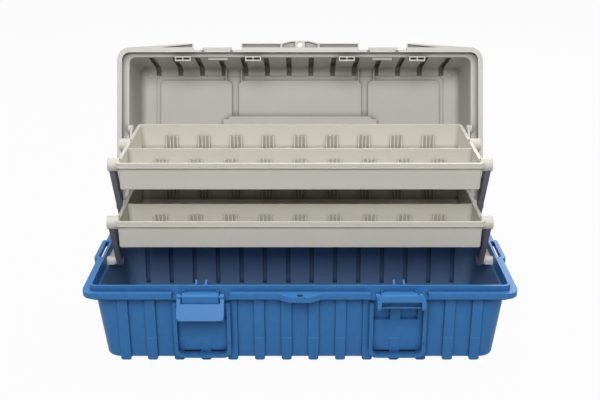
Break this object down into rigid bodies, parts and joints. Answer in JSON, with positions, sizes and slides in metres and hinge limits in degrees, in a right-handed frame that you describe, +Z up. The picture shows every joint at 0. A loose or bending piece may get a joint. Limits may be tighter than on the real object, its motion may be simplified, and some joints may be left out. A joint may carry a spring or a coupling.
{
  "type": "tool box",
  "caption": "Cantilever tool box: ribbed open base, hinged lid, levelled trays on swinging links, lever latches, padlock eye and folding handle.",
  "frame": {"origin": "under the middle of the base, on the plane of its feet", "axes": "+X along the box's length, -Y out of its front, +Z up"},
  "size_m": [0.5396, 0.4592, 0.3419],
  "materials": {
    "base_blue": "satin moulded",
    "lid_grey": "satin moulded",
    "tray_grey": "satin moulded",
    "link_grey": "satin moulded",
    "steel": "plain"
  },
  "bodies": {
    "base": {"base_tub": "base_blue", "lid_hinge_pins": "steel", "link_bracket_left": "lid_grey", "base_link_pins_left": "link_grey", "latch_pin_left": "base_blue", "link_bracket_right": "lid_grey", "base_link_pins_right": "link_grey", "latch_pin_right": "base_blue"},
    "lid": {"lid_shell": "lid_grey", "handle_pivots": "steel", "lid_link_pin_left": "lid_grey", "lid_link_pin_right": "lid_grey"},
    "carry_handle": {"carry_handle": "base_blue"},
    "lower_tray": {"lower_tray": "tray_grey", "lower_tray_pins_left": "tray_grey", "lower_tray_pins_right": "tray_grey"},
    "upper_tray": {"upper_tray": "tray_grey", "upper_tray_pins_left": "tray_grey", "upper_tray_pins_right": "tray_grey"},
    "front_link_left": {"front_link_left": "link_grey"},
    "long_arm_left": {"long_arm_left": "link_grey"},
    "rear_link_left": {"rear_link_left": "link_grey"},
    "lid_link_left": {"lid_link_left": "lid_grey"},
    "latch_lever_left": {"latch_lever_left": "base_blue"},
    "front_link_right": {"front_link_right": "link_grey"},
    "long_arm_right": {"long_arm_right": "link_grey"},
    "rear_link_right": {"rear_link_right": "link_grey"},
    "lid_link_right": {"lid_link_right": "lid_grey"},
    "latch_lever_right": {"latch_lever_right": "base_blue"}
  },
  "joints": [
    {"name": "lid_hinge", "type": "hinge", "parent": "base", "child": "lid", "pos_m": [0, 0.132, 0.097], "axis": [1, 0, 0], "range_deg": [0, 110]},
    {"name": "handle_fold", "type": "hinge", "parent": "lid", "child": "carry_handle", "pos_m": [0, 0.27082, 0.20503], "axis": [1, 0, 0], "range_deg": [-20, 70]},
    {"name": "front_link_swing_left", "type": "hinge", "parent": "base", "child": "front_link_left", "pos_m": [0, -0.004, 0.094], "axis": [1, 0, 0], "range_deg": [0, 30]},
    {"name": "long_arm_swing_left", "type": "hinge", "parent": "base", "child": "long_arm_left", "pos_m": [0, 0.062, 0.094], "axis": [1, 0, 0], "range_deg": [0, 30]},
    {"name": "front_link_swing_right", "type": "hinge", "parent": "base", "child": "front_link_right", "pos_m": [0, -0.004, 0.094], "axis": [1, 0, 0], "range_deg": [0, 30]},
    {"name": "long_arm_swing_right", "type": "hinge", "parent": "base", "child": "long_arm_right", "pos_m": [0, 0.062, 0.094], "axis": [1, 0, 0], "range_deg": [0, 30]},
    {"name": "lower_tray_level", "type": "hinge", "parent": "front_link_left", "child": "lower_tray", "pos_m": [0, -0.043, 0.16155], "axis": [1, 0, 0], "range_deg": [-30, 0]},
    {"name": "upper_tray_level", "type": "hinge", "parent": "long_arm_left", "child": "upper_tray", "pos_m": [0, -0.016, 0.2291], "axis": [1, 0, 0], "range_deg": [-30, 0]},
    {"name": "rear_link_swing_left", "type": "hinge", "parent": "lower_tray", "child": "rear_link_left", "pos_m": [0, 0.111, 0.16155], "axis": [1, 0, 0], "range_deg": [0, 30]},
    {"name": "lid_link_swing_left", "type": "hinge", "parent": "lower_tray", "child": "lid_link_left", "pos_m": [0, 0.123, 0.13905], "axis": [1, 0, 0], "range_deg": [0, 130.8]},
    {"name": "rear_link_swing_right", "type": "hinge", "parent": "lower_tray", "child": "rear_link_right", "pos_m": [0, 0.111, 0.16155], "axis": [1, 0, 0], "range_deg": [0, 30]},
    {"name": "lid_link_swing_right", "type": "hinge", "parent": "lower_tray", "child": "lid_link_right", "pos_m": [0, 0.123, 0.13905], "axis": [1, 0, 0], "range_deg": [0, 130.8]},
    {"name": "latch_swing_left", "type": "hinge", "parent": "base", "child": "latch_lever_left", "pos_m": [-0.12, -0.1195, 0.0953], "axis": [-1, 0, 0], "range_deg": [0, 150]},
    {"name": "latch_swing_right", "type": "hinge", "parent": "base", "child": "latch_lever_right", "pos_m": [0.12, -0.1195, 0.0953], "axis": [-1, 0, 0], "range_deg": [-75, 75]}
  ],
  "couplings": [
    {"joint": "front_link_swing_left", "follows": "lid_hinge", "ratio": 0.27272},
    {"joint": "long_arm_swing_left", "follows": "lid_hinge", "ratio": 0.27272},
    {"joint": "front_link_swing_right", "follows": "lid_hinge", "ratio": 0.27272},
    {"joint": "long_arm_swing_right", "follows": "lid_hinge", "ratio": 0.27272},
    {"joint": "lower_tray_level", "follows": "lid_hinge", "ratio": -0.27272},
    {"joint": "upper_tray_level", "follows": "lid_hinge", "ratio": -0.27272},
    {"joint": "rear_link_swing_left", "follows": "lid_hinge", "ratio": 0.27272},
    {"joint": "lid_link_swing_left", "follows": "lid_hinge", "ratio": 1.1888},
    {"joint": "rear_link_swing_right", "follows": "lid_hinge", "ratio": 0.27272},
    {"joint": "lid_link_swing_right", "follows": "lid_hinge", "ratio": 1.1888}
  ]
}
